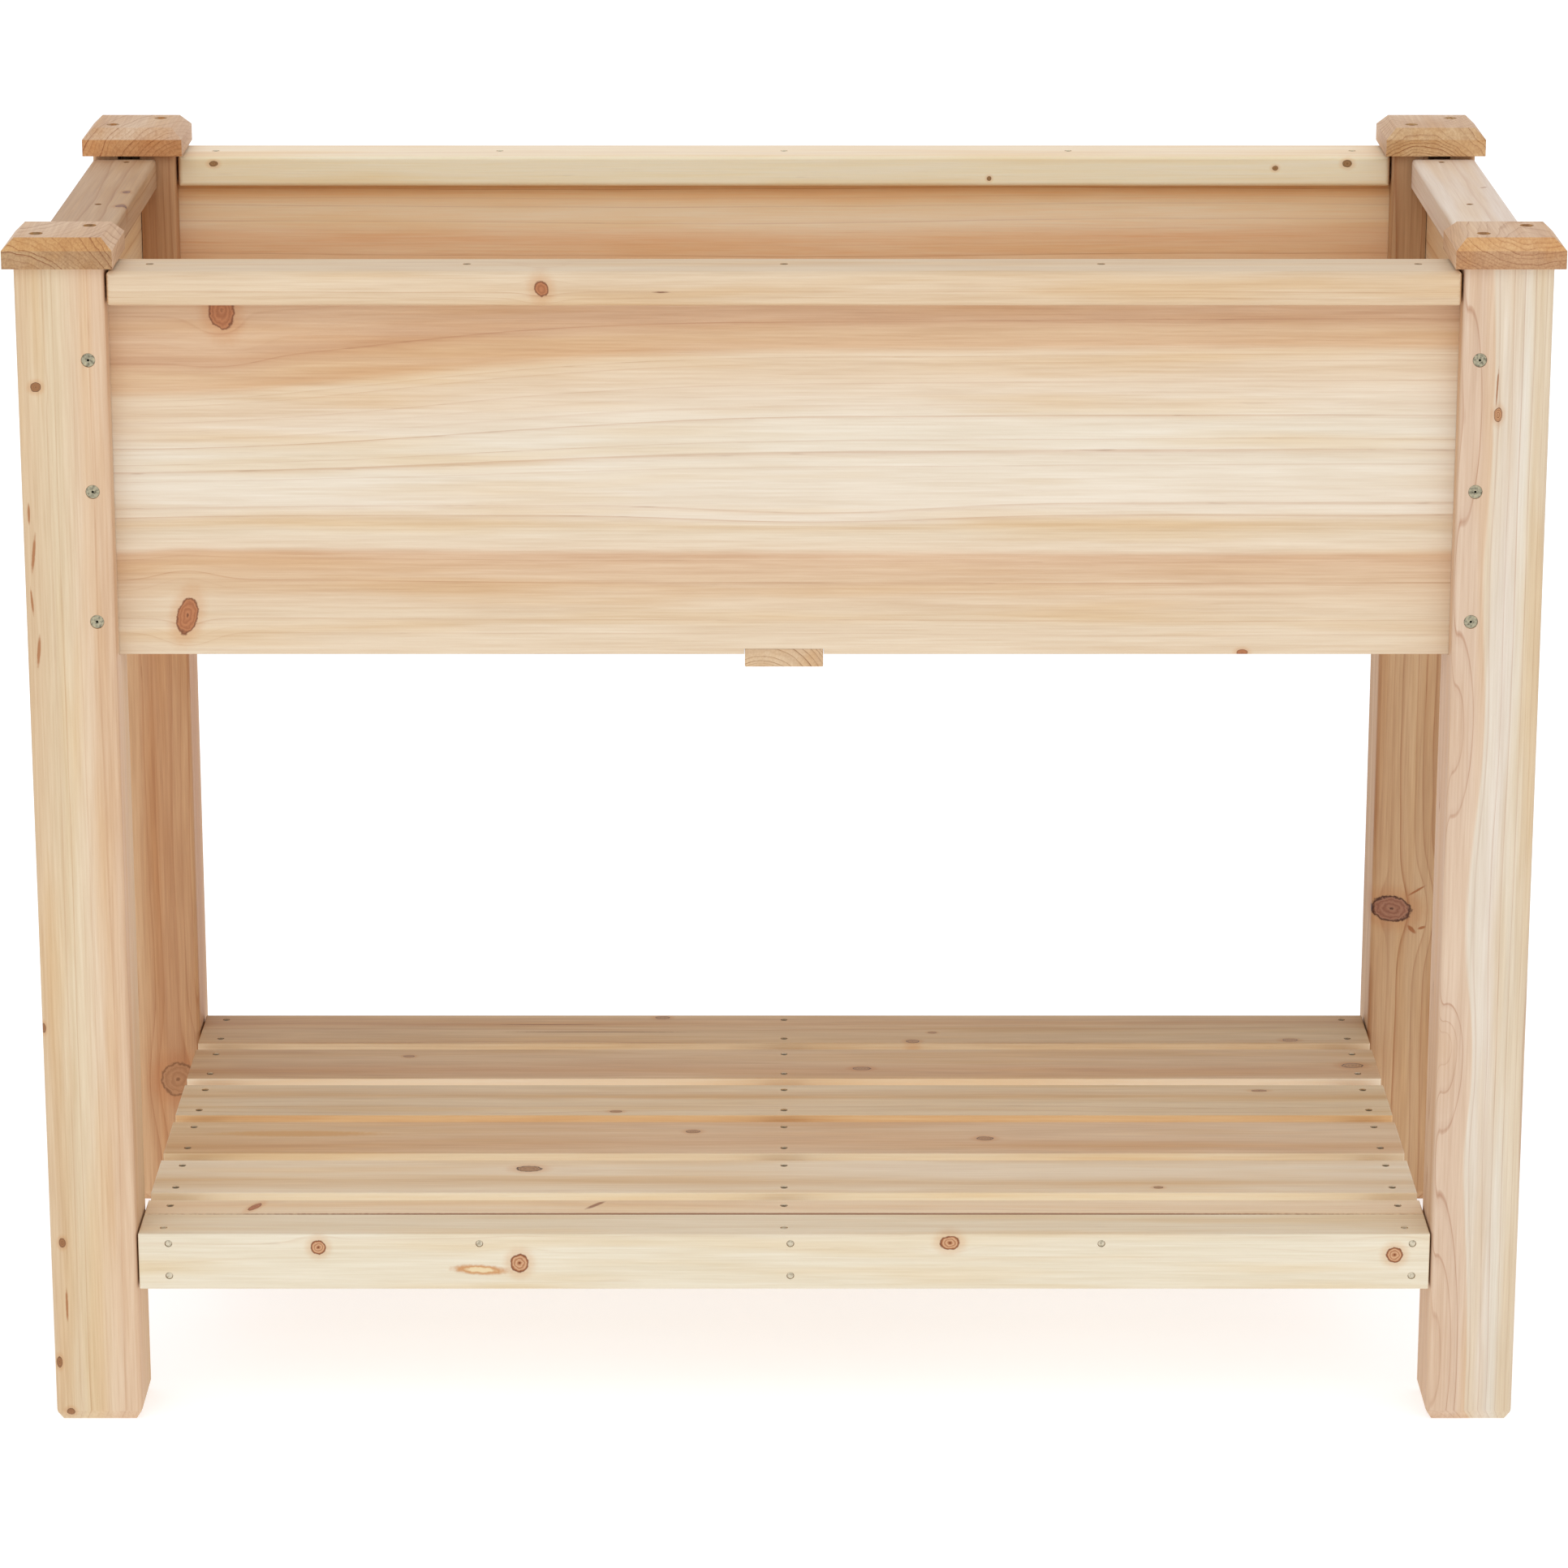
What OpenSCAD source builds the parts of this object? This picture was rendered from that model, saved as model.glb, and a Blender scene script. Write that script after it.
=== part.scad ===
// Raised planter on legs: an open timber box on four square posts, with a slatted shelf
// near the ground. Millimetres. The origin is on the ground at the middle of the planter,
// +Z is up, +X is to the right and -Y is the front.

/* [Overall] */
// Width over the outside of the legs
span_w = 920; // [640:10:1300]
// Depth over the outside of the legs
span_d = 445; // [340:5:640]
// Height of the legs, up to the underside of the caps
leg_h = 741; // [620:1:950]

/* [Legs and caps] */
// Side of the square legs
leg_w = 54; // [52:1:66]
// Rounding of the legs' long edges
leg_edge_r = 3; // [1:0.5:5]
// Width of the chamfer around the bottom of a leg
foot_chamfer_w = 4; // [2:0.5:6]
// Height of the chamfer around the bottom of a leg
foot_chamfer_h = 7; // [3:0.5:12]
// How far a cap stands out past its leg on every side
cap_overhang = 6; // [3:0.5:10]
// Thickness of a cap
cap_h = 18; // [14:0.5:24]
// Chamfer around the top of a cap
cap_chamfer = 7; // [3:0.5:9]

/* [Planter box] */
// Height of the side boards
panel_h = 220; // [160:5:300]
// Thickness of the side boards
panel_t = 14; // [12:0.5:16]
// Distance from a leg's outer face to the side board's outer face
panel_setback = 17; // [14:0.5:19]
// Depth of the groove in a leg that holds the end of a side board
groove_depth = 20; // [16:0.5:21]
// Play on each side of a side board in its groove
groove_play = 0.4; // [0.2:0.1:0.8]
// Play between a side board's end and the bottom of its groove
groove_end_play = 1; // [0.5:0.5:2]
// Width of the rails that cap the side boards
rail_w = 42.5; // [36:0.5:48]
// Thickness of the rails
rail_h = 21; // [14:0.5:22]
// Distance from the rails' top down from the underside of the caps
rail_drop = 2.5; // [2:0.5:15]
// Gap between a rail's end and the leg
rail_end_gap = 1.2; // [0.5:0.1:3]
// Rounding of the rails' edges
rail_edge_r = 3; // [1:0.5:4]

/* [Planter floor] */
// Width of the battens under the floor
batten_w = 48; // [40:1:60]
// Thickness of the battens under the floor
batten_t = 11.5; // [9:0.5:15]
// How far the battens are let in above the side boards' bottom edge
batten_let_in = 3.5; // [2:0.5:6]
// Play around a batten in the notch of a side board
notch_play = 0.3; // [0.1:0.1:0.8]
// Smallest gap between the floor slats
floor_gap_min = 3; // [2:0.5:8]
// Play between the floor slats and the side boards or legs
floor_play = 1; // [0.5:0.5:3]

/* [Slats] */
// Width of the floor and shelf slats
slat_w = 60; // [50:1:75]
// Thickness of the floor and shelf slats
slat_t = 12; // [10:0.5:15]
// Easing of the edges of slats, battens and side boards
board_edge_r = 1; // [0.5:0.5:2]

/* [Shelf] */
// Height of the shelf's top above the ground
shelf_top = 126; // [90:1:200]
// Depth of the shelf's front rail, front to back
front_rail_w = 34.5; // [26:0.5:40]
// Height of the shelf's front rail
front_rail_h = 37; // [32:1:50]
// Width of the narrow slat just behind the front rail
narrow_slat_w = 24.5; // [20:0.5:40]
// Joint between the front rail and the narrow slat
front_joint = 1; // [0.5:0.5:3]
// Smallest gap between the shelf slats
shelf_gap_min = 9; // [6:1:14]
// Distance from the shelf's back edge to the back of the rear legs
shelf_back_inset = 21; // [10:1:30]
// Gap between the shelf and the legs at each end
shelf_end_gap = 1; // [0.5:0.5:3]
// Width of the battens under the shelf
shelf_batten_w = 34; // [28:1:44]

/* [Screws and nails] */
// Diameter of the screws' shanks
screw_d = 4; // [3.5:0.5:5]
// Diameter of the screws' heads
screw_head_d = 8.4; // [7.5:0.1:9]
// Length of the screws through the legs into the side boards
panel_screw_len = 38; // [34:1:38]
// Number of screws at each end of a side board
panel_screw_n = 3; // [2:1:4]
// Distance between those screws
panel_screw_pitch = 81; // [50:1:90]
// Distance from those screws to the leg's inner face
panel_screw_inset = 11; // [8:0.5:13]
// Length of the screws through the caps
cap_screw_len = 40; // [30:5:50]
// Distance from the cap screws to the leg's left or right face
cap_screw_x = 12.5; // [11:0.5:14]
// Distance from the cap screws to the leg's front or back face
cap_screw_y = 14; // [11:0.5:14]
// How far the cap screws' heads are sunk
cap_screw_sink = 1.5; // [0.5:0.5:3]
// Length of the screws that hold the shelf to the legs
shelf_screw_len = 60; // [50:5:70]
// Distance from those screws to the edge of the leg
shelf_screw_inset = 10; // [8:0.5:12]
// Diameter of the nails' shanks
nail_d = 2; // [1.6:0.1:2.5]
// Diameter of the nails' heads
nail_head_d = 4.5; // [3.5:0.1:5.5]
// Distance from the slat nails to the edges of a slat
slat_nail_inset = 10; // [8:0.5:14]
// Distance from the outer slat nails to the ends of a slat
slat_nail_end = 15; // [12:1:20]

/* [Hidden] */
hair = 0.01;                 // makes a cut run past the face it starts from
cut_over = 1;                // how far a cutting shape stands out past the wood
hole_play = 0.1;             // play around a shank in the wood
curve_fn = 32;               // roundness of eased edges and holes
wood_light = "#e6d2b0";
wood_tan = "#dcc09a";
wood_cap = "#c9a278";
wood_dark = "#b99068";
steel_zinc = "#8e8a70";
steel_nail = "#77756c";

// directions in which a screw or nail is driven, as turns from straight down
drive_down = [0, 0, 0];
drive_up = [180, 0, 0];
drive_back = [90, 0, 0];
drive_front = [-90, 0, 0];
drive_right = [0, -90, 0];
drive_left = [0, 90, 0];

// legs
half_w = span_w / 2;
half_d = span_d / 2;
leg_in_x = half_w - leg_w;
leg_in_y = half_d - leg_w;
leg_mid_x = half_w - leg_w / 2;
leg_mid_y = half_d - leg_w / 2;
corners = [[-1, -1], [1, -1], [-1, 1], [1, 1]];
corner_names = ["front_left", "front_right", "rear_left", "rear_right"];

// box
rail_top = leg_h - rail_drop;
panel_top = rail_top - rail_h;
panel_bottom = panel_top - panel_h;
panel_mid = panel_setback + panel_t / 2;                // from a leg's outer face
panel_in = panel_setback + panel_t;                     // from a leg's outer face
panel_reach = groove_depth - groove_end_play;           // how far a board runs into a leg
panel_screw_drop = 4;        // the rows of screws sit this far below the boards' middle
panel_screw_low = panel_top - panel_h / 2 - (panel_screw_n - 1) * panel_screw_pitch / 2 - panel_screw_drop;
panel_screw_z = [for (i = [0 : panel_screw_n - 1]) panel_screw_low + i * panel_screw_pitch];

// floor
batten_top = panel_bottom + batten_let_in;
batten_bottom = batten_top - batten_t;
side_batten_x = half_w - panel_setback - batten_w;      // inner edge of the side battens
floor_len = 2 * (half_w - panel_in - floor_play);
floor_depth = 2 * (half_d - panel_in - floor_play);
floor_n = floor((floor_depth + floor_gap_min) / (slat_w + floor_gap_min));
floor_gap = (floor_depth - floor_n * slat_w) / (floor_n - 1);
floor_nail_x = [-side_batten_x - batten_w / 3, 0, side_batten_x + batten_w / 3];

// shelf
shelf_half = leg_in_x - shelf_end_gap;
shelf_front = -half_d;
shelf_back = half_d - shelf_back_inset;
shelf_bottom = shelf_top - front_rail_h;
slat_bottom = shelf_top - slat_t;
narrow_y = shelf_front + front_rail_w + front_joint;
wide_zone = shelf_back - narrow_y - narrow_slat_w;
shelf_n = floor(wide_zone / (slat_w + shelf_gap_min));
shelf_gap = (wide_zone - shelf_n * slat_w) / shelf_n;
shelf_batten_h = front_rail_h - slat_t;
batten_front = shelf_front + front_rail_w;
batten_mid_x = [-shelf_half + shelf_batten_w / 2, 0, shelf_half - shelf_batten_w / 2];
shelf_nail_x = [-shelf_half + slat_nail_end, 0, shelf_half - slat_nail_end];
side_names = ["left", "centre", "right"];

// fasteners
screw_head_h = (screw_head_d - screw_d) / 2;
screw_tip = 5;               // length of a screw's point
screw_sink = 0.3;            // how far most screw heads are sunk
head_rim = 0.4;              // straight rim of a countersunk head
cross_w = 1.1;               // width of an arm of the cross recess
cross_len = 4.6;             // length across the cross recess
cross_deep = 2;              // depth of the cross recess
nail_head_h = 0.9;
nail_tip = 3;                // length of a nail's point
nail_sink = 0.4;             // how far the nail heads are sunk
slat_nail_len = 24;
floor_nail_cover = 1;        // wood left under the floor nails' points
floor_nail_len = slat_t + batten_t - nail_sink - floor_nail_cover;
rail_nail_len = 42;
rail_nail_end = 25;          // from a rail's end to its last nail
side_rail_nail_end = 14;     // the same on the two short rails
front_nail_len = 44;
front_nail_offset = 4;       // keeps the nails in the front rail off those in its top
front_nail_up = 6.5;         // upper nails, into the narrow slat's edge, below the front rail's top
front_upper_n = 5;           // number of upper nails
front_nail_low = 9;          // lower nails, into the battens, above the front rail's bottom
front_top_nail = 11;         // nails in the front rail's top, from its front
batten_nail_len = 34;
batten_nail_x = 14;          // nails in the centre batten, from its middle
side_batten_nails = 3;       // nails along each side batten

function front_y(sy) = sy < 0 ? drive_back : drive_front;
function side_x(sx) = sx < 0 ? drive_right : drive_left;
function spread(low, high, n) = [for (i = [0 : n - 1]) low + i * (high - low) / (n - 1)];

// each fastener is [where its head sits, the way it is driven, its length]
function face_screws(c) = [for (z = panel_screw_z)
    [[c[0] * (leg_in_x + panel_screw_inset), c[1] * half_d, z], front_y(c[1]), panel_screw_len]];
function side_screws(c) = [for (z = panel_screw_z)
    [[c[0] * half_w, c[1] * (leg_in_y + panel_screw_inset), z], side_x(c[0]), panel_screw_len]];
function cap_screw_spots(c) = [for (s = [-1, 1])
    [[c[0] * leg_mid_x + s * (leg_w / 2 - cap_screw_x), c[1] * leg_mid_y + s * (leg_w / 2 - cap_screw_y),
        leg_h + cap_h], drive_down, cap_screw_len]];
function shelf_screw_spots(c) = [
    [[c[0] * (shelf_half - shelf_batten_w), c[1] * (leg_in_y + shelf_screw_inset),
        shelf_bottom + shelf_batten_h / 2], c[0] < 0 ? drive_left : drive_right, shelf_screw_len]];
function long_rail_nails(sy) = [for (x = spread(-leg_in_x + rail_nail_end, leg_in_x - rail_nail_end, 5))
    [[x, sy * (half_d - panel_mid), rail_top], drive_down, rail_nail_len]];
function short_rail_nails(sx) = [
    for (y = spread(-leg_in_y + side_rail_nail_end, leg_in_y - side_rail_nail_end, 3))
    [[sx * (half_w - panel_mid), y, rail_top], drive_down, rail_nail_len]];
function floor_y(i) = -floor_depth / 2 + (i - 1) * (slat_w + floor_gap);
function floor_nail_spots(i) = [for (x = floor_nail_x, y = [slat_nail_inset, slat_w - slat_nail_inset])
    let (end_slat = i == 1 || i == floor_n, at_leg = abs(floor_y(i) + y) > leg_in_y - nail_head_d)
    if (!(end_slat && at_leg && x != 0))
    [[x, floor_y(i) + y, batten_top + slat_t], drive_down, floor_nail_len]];
function shelf_y(i) = shelf_back - slat_w - (i - 1) * (slat_w + shelf_gap);
function slat_nails(y_low, w) = [for (x = shelf_nail_x, y = w > 2 * slat_nail_inset + nail_head_d
    ? [slat_nail_inset, w - slat_nail_inset] : [w - slat_nail_inset])
    [[x, y_low + y, shelf_top], drive_down, slat_nail_len]];
front_top_nails = [for (x = shelf_nail_x)
    [[x, shelf_front + front_top_nail, shelf_top], drive_down, slat_nail_len]];
front_upper_nails = [for (x = spread(-shelf_half + slat_nail_end, shelf_half - slat_nail_end, front_upper_n))
    [[x + front_nail_offset, shelf_front, shelf_top - front_nail_up], drive_back, front_nail_len]];
front_lower_nails = [for (x = shelf_nail_x)
    [[x + front_nail_offset, shelf_front, shelf_bottom + front_nail_low], drive_back, front_nail_len]];
front_face_nails = concat(front_upper_nails, front_lower_nails);
centre_batten_nails = [for (x = [-batten_nail_x, batten_nail_x], sy = [-1, 1])
    [[x, sy * (half_d - panel_mid), batten_bottom], drive_up, batten_nail_len]];
function side_batten_spots(sx) = [
    for (y = spread(-leg_in_y + rail_nail_end, leg_in_y - rail_nail_end, side_batten_nails))
    [[sx * (half_w - panel_mid), y, batten_bottom], drive_up, batten_nail_len]];

// ---- shapes that are used again ----

// rectangle from the origin with rounded corners
module rounded_rect(w, h, r) {
    translate([r, 0]) square([w - 2 * r, h]);
    translate([0, r]) square([w, h - 2 * r]);
    for (x = [r, w - r], y = [r, h - r]) translate([x, y]) circle(r = r, $fn = curve_fn);
}

// board from the origin with all its edges eased
module board(size, r) {
    intersection() {
        linear_extrude(size[2]) rounded_rect(size[0], size[1], r);
        rotate([90, 0, 90]) linear_extrude(size[0]) rounded_rect(size[1], size[2], r);
        translate([0, size[1], 0]) rotate([90, 0, 0])
            linear_extrude(size[1]) rounded_rect(size[0], size[2], r);
    }
}

module box_between(low, high) {
    translate(low) cube(high - low);
}

// ---- screws and nails, drawn with the head's top at z = 0 and the point below ----

module screw(len) {
    difference() {
        union() {
            translate([0, 0, -head_rim]) cylinder(d = screw_head_d, h = head_rim, $fn = curve_fn);
            translate([0, 0, -head_rim - screw_head_h])
                cylinder(d1 = screw_d, d2 = screw_head_d, h = screw_head_h, $fn = curve_fn);
            translate([0, 0, -len + screw_tip]) cylinder(d = screw_d, h = len - screw_tip - head_rim,
                $fn = curve_fn);
            translate([0, 0, -len]) cylinder(d1 = screw_d / 8, d2 = screw_d, h = screw_tip, $fn = curve_fn);
        }
        for (turn = [0, 90]) rotate(turn)
            translate([-cross_len / 2, -cross_w / 2, -cross_deep])
                cube([cross_len, cross_w, cross_deep + hair]);
    }
}

module screw_hole(len) {
    head_hole_d = screw_head_d + 2 * hole_play;
    translate([0, 0, -head_rim]) cylinder(d = head_hole_d, h = head_rim + cut_over + cap_screw_sink,
        $fn = curve_fn);
    translate([0, 0, -head_rim - screw_head_h])
        cylinder(d1 = screw_d + 2 * hole_play, d2 = head_hole_d, h = screw_head_h, $fn = curve_fn);
    translate([0, 0, -len - hole_play]) cylinder(d = screw_d + 2 * hole_play, h = len, $fn = curve_fn);
}

module nail(len) {
    translate([0, 0, -nail_head_h]) cylinder(d = nail_head_d, h = nail_head_h, $fn = curve_fn);
    translate([0, 0, -len + nail_tip]) cylinder(d = nail_d, h = len - nail_tip - hair, $fn = curve_fn);
    translate([0, 0, -len]) cylinder(d1 = nail_d / 8, d2 = nail_d, h = nail_tip, $fn = curve_fn);
}

module nail_hole(len) {
    translate([0, 0, -nail_head_h]) cylinder(d = nail_head_d + 2 * hole_play, h = nail_head_h + cut_over,
        $fn = curve_fn);
    translate([0, 0, -len - hole_play]) cylinder(d = nail_d + 2 * hole_play, h = len, $fn = curve_fn);
}

module screws(spots, sink = screw_sink) {
    for (s = spots) translate(s[0]) rotate(s[1]) translate([0, 0, -sink]) screw(s[2]);
}

module screw_holes(spots, sink = screw_sink) {
    for (s = spots) translate(s[0]) rotate(s[1]) translate([0, 0, -sink]) screw_hole(s[2]);
}

module nails(spots) {
    for (s = spots) translate(s[0]) rotate(s[1]) translate([0, 0, -nail_sink]) nail(s[2]);
}

module nail_holes(spots) {
    for (s = spots) translate(s[0]) rotate(s[1]) translate([0, 0, -nail_sink]) nail_hole(s[2]);
}

// ---- legs and caps ----

// outline of a leg seen from one side, with the chamfered foot
module leg_profile() {
    polygon([[foot_chamfer_w, 0], [leg_w - foot_chamfer_w, 0], [leg_w, foot_chamfer_h],
        [leg_w, leg_h], [0, leg_h], [0, foot_chamfer_h]]);
}

// front left leg with its outer corner at the origin
module leg_blank() {
    groove_w = panel_t + 2 * groove_play;
    groove_z = panel_bottom - groove_play;
    difference() {
        intersection() {
            linear_extrude(leg_h) rounded_rect(leg_w, leg_w, leg_edge_r);
            translate([0, leg_w, 0]) rotate([90, 0, 0]) linear_extrude(leg_w) leg_profile();
            rotate([90, 0, 90]) linear_extrude(leg_w) leg_profile();
        }
        box_between([leg_w - groove_depth, panel_setback - groove_play, groove_z],
            [leg_w + cut_over, panel_setback - groove_play + groove_w, leg_h + cut_over]);
        box_between([panel_setback - groove_play, leg_w - groove_depth, groove_z],
            [panel_setback - groove_play + groove_w, leg_w + cut_over, leg_h + cut_over]);
    }
}

module leg(c) {
    color(c[1] < 0 ? wood_tan : wood_dark) difference() {
        mirror([c[0] > 0 ? 1 : 0, 0, 0]) mirror([0, c[1] > 0 ? 1 : 0, 0])
            translate([-half_w, -half_d, 0]) leg_blank();
        screw_holes(face_screws(c));
        screw_holes(side_screws(c));
        screw_holes(cap_screw_spots(c), cap_screw_sink);
        screw_holes(shelf_screw_spots(c));
    }
}

module cap_profile(w) {
    polygon([[0, 0], [w, 0], [w, cap_h - cap_chamfer], [w - cap_chamfer, cap_h],
        [cap_chamfer, cap_h], [0, cap_h - cap_chamfer]]);
}

module cap(c) {
    w = leg_w + 2 * cap_overhang;
    color(wood_cap) difference() {
        translate([c[0] * leg_mid_x - w / 2, c[1] * leg_mid_y - w / 2, leg_h]) intersection() {
            translate([0, w, 0]) rotate([90, 0, 0]) linear_extrude(w) cap_profile(w);
            rotate([90, 0, 90]) linear_extrude(w) cap_profile(w);
        }
        screw_holes(cap_screw_spots(c), cap_screw_sink);
    }
}

// ---- planter box ----

module long_panel(sy) {
    len = 2 * (leg_in_x + panel_reach);
    y = sy < 0 ? -half_d + panel_setback : half_d - panel_in;
    color(wood_light) difference() {
        translate([-len / 2, y, panel_bottom]) board([len, panel_t, panel_h], board_edge_r);
        box_between([-batten_w / 2 - notch_play, y - cut_over, panel_bottom - cut_over],
            [batten_w / 2 + notch_play, y + panel_t + cut_over, batten_top]);
        for (sx = [-1, 1]) screw_holes(face_screws([sx, sy]));
        nail_holes(long_rail_nails(sy));
        nail_holes(centre_batten_nails);
    }
}

module short_panel(sx) {
    len = 2 * (leg_in_y + panel_reach);
    x = sx < 0 ? -half_w + panel_setback : half_w - panel_in;
    color(wood_light) difference() {
        translate([x, -len / 2, panel_bottom]) board([panel_t, len, panel_h], board_edge_r);
        for (sy = [-1, 1]) screw_holes(side_screws([sx, sy]));
        nail_holes(short_rail_nails(sx));
        nail_holes(side_batten_spots(sx));
    }
}

module long_rail(sy) {
    len = 2 * (leg_in_x - rail_end_gap);
    y = sy < 0 ? -half_d : half_d - rail_w;
    color(wood_light) difference() {
        translate([-len / 2, y, panel_top]) board([len, rail_w, rail_h], rail_edge_r);
        nail_holes(long_rail_nails(sy));
    }
}

module short_rail(sx) {
    len = 2 * (leg_in_y - rail_end_gap);
    x = sx < 0 ? -half_w : half_w - rail_w;
    color(wood_light) difference() {
        translate([x, -len / 2, panel_top]) board([rail_w, len, rail_h], rail_edge_r);
        nail_holes(short_rail_nails(sx));
    }
}

// ---- planter floor ----

// runs front to back through the notches in the front and rear boards
module centre_floor_batten() {
    len = span_d - 2 * panel_setback;
    color(wood_light) difference() {
        translate([-batten_w / 2, -len / 2, batten_bottom]) board([batten_w, len, batten_t], board_edge_r);
        for (i = [1 : floor_n]) nail_holes(floor_nail_spots(i));
        nail_holes(centre_batten_nails);
    }
}

// lies under the bottom edge of a side board, rebated for it
module side_floor_batten(sx) {
    len = 2 * (leg_in_y - floor_play);
    x = sx < 0 ? -half_w + panel_setback : side_batten_x;
    rebate_x = sx < 0 ? x - cut_over : half_w - panel_in - notch_play;
    color(wood_tan) difference() {
        translate([x, -len / 2, batten_bottom]) board([batten_w, len, batten_t], board_edge_r);
        box_between([rebate_x, -len / 2 - cut_over, panel_bottom],
            [rebate_x + panel_t + notch_play + cut_over, len / 2 + cut_over, batten_top + cut_over]);
        for (i = [1 : floor_n]) nail_holes(floor_nail_spots(i));
        nail_holes(side_batten_spots(sx));
    }
}

// the first and last slats are notched around the legs
module floor_slat(i) {
    leg_x = leg_in_x - floor_play;
    leg_y = leg_in_y - floor_play;
    color(wood_tan) difference() {
        translate([-floor_len / 2, floor_y(i), batten_top]) board([floor_len, slat_w, slat_t], board_edge_r);
        for (c = corners) box_between(
            [min(c[0] * leg_x, c[0] * half_w), min(c[1] * leg_y, c[1] * half_d), batten_top - cut_over],
            [max(c[0] * leg_x, c[0] * half_w), max(c[1] * leg_y, c[1] * half_d),
                batten_top + slat_t + cut_over]);
        nail_holes(floor_nail_spots(i));
    }
}

// ---- shelf ----

module shelf_front_rail() {
    color(wood_light) difference() {
        translate([-shelf_half, shelf_front, shelf_bottom])
            board([2 * shelf_half, front_rail_w, front_rail_h], board_edge_r);
        nail_holes(front_top_nails);
        nail_holes(front_face_nails);
    }
}

module shelf_narrow_slat() {
    color(wood_tan) difference() {
        translate([-shelf_half, narrow_y, slat_bottom])
            board([2 * shelf_half, narrow_slat_w, slat_t], board_edge_r);
        nail_holes(slat_nails(narrow_y, narrow_slat_w));
        nail_holes(front_face_nails);
    }
}

module shelf_slat(i) {
    color(wood_tan) difference() {
        translate([-shelf_half, shelf_y(i), slat_bottom])
            board([2 * shelf_half, slat_w, slat_t], board_edge_r);
        nail_holes(slat_nails(shelf_y(i), slat_w));
    }
}

module shelf_batten(i) {
    color(wood_dark) difference() {
        translate([batten_mid_x[i] - shelf_batten_w / 2, batten_front, shelf_bottom])
            board([shelf_batten_w, shelf_back - batten_front, shelf_batten_h], board_edge_r);
        for (k = [1 : shelf_n]) nail_holes(slat_nails(shelf_y(k), slat_w));
        nail_holes(slat_nails(narrow_y, narrow_slat_w));
        nail_holes(front_face_nails);
        if (i != 1) for (c = corners) screw_holes(shelf_screw_spots(c));
    }
}

// ---- groups of fasteners ----

module panel_screws() {
    color(steel_zinc) for (c = corners) {
        screws(face_screws(c));
        screws(side_screws(c));
    }
}

module cap_screws() {
    color(steel_zinc) for (c = corners) screws(cap_screw_spots(c), cap_screw_sink);
}

module shelf_screws() {
    color(steel_zinc) for (c = corners) screws(shelf_screw_spots(c));
}

module rail_nails() {
    color(steel_nail) for (s = [-1, 1]) {
        nails(long_rail_nails(s));
        nails(short_rail_nails(s));
    }
}

module floor_nails() {
    color(steel_nail) for (i = [1 : floor_n]) nails(floor_nail_spots(i));
}

module floor_batten_nails() {
    color(steel_nail) nails(centre_batten_nails);
    color(steel_nail) for (s = [-1, 1]) nails(side_batten_spots(s));
}

module shelf_slat_nails() {
    color(steel_nail) for (i = [1 : shelf_n]) nails(slat_nails(shelf_y(i), slat_w));
    color(steel_nail) nails(slat_nails(narrow_y, narrow_slat_w));
}

module shelf_front_nails() {
    color(steel_nail) nails(front_top_nails);
    color(steel_nail) nails(front_face_nails);
}

// ---- the planter ----

for (k = [0 : 3]) leg(corners[k]);
for (k = [0 : 3]) cap(corners[k]);
long_panel(-1);  // panel_front
long_panel(1);  // panel_rear
short_panel(-1);  // panel_left
short_panel(1);  // panel_right
long_rail(-1);  // rail_front
long_rail(1);  // rail_rear
short_rail(-1);  // rail_left
short_rail(1);  // rail_right
side_floor_batten(-1);  // floor_batten_left
centre_floor_batten();  // floor_batten_centre
side_floor_batten(1);  // floor_batten_right
for (i = [1 : floor_n]) floor_slat(i);
shelf_front_rail();
shelf_narrow_slat();
for (i = [1 : shelf_n]) shelf_slat(i);
for (i = [0 : 2]) shelf_batten(i);
panel_screws();
cap_screws();
shelf_screws();
rail_nails();
floor_nails();
floor_batten_nails();
shelf_slat_nails();
shelf_front_nails();
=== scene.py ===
import math
import bmesh
import bpy
from mathutils import Matrix, Vector


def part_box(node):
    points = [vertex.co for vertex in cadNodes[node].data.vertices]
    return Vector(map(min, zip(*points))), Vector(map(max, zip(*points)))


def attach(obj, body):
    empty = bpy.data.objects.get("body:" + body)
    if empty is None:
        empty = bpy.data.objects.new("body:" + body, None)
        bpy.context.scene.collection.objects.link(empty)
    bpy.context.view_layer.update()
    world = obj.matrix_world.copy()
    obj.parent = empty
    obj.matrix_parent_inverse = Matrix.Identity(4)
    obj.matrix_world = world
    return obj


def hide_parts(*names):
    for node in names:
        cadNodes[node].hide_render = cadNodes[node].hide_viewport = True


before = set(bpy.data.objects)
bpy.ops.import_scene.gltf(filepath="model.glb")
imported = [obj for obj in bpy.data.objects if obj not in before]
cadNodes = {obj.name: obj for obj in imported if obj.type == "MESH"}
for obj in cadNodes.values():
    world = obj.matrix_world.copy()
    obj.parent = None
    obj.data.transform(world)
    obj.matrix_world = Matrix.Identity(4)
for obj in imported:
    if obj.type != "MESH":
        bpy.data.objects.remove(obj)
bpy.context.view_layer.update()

mm = 0.001
noiseLow, noiseHigh = 0.3, 0.7  # nearly all of a noise texture lies between these
print("frame:", len(cadNodes), "nodes")


def linear(hexColour):  # sRGB hex to the linear values that the shaders take
    parts = [int(hexColour[i:i + 2], 16) / 255 for i in (1, 3, 5)]
    return [p / 12.92 if p <= 0.04045 else ((p + 0.055) / 1.055) ** 2.4 for p in parts] + [1]


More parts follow.
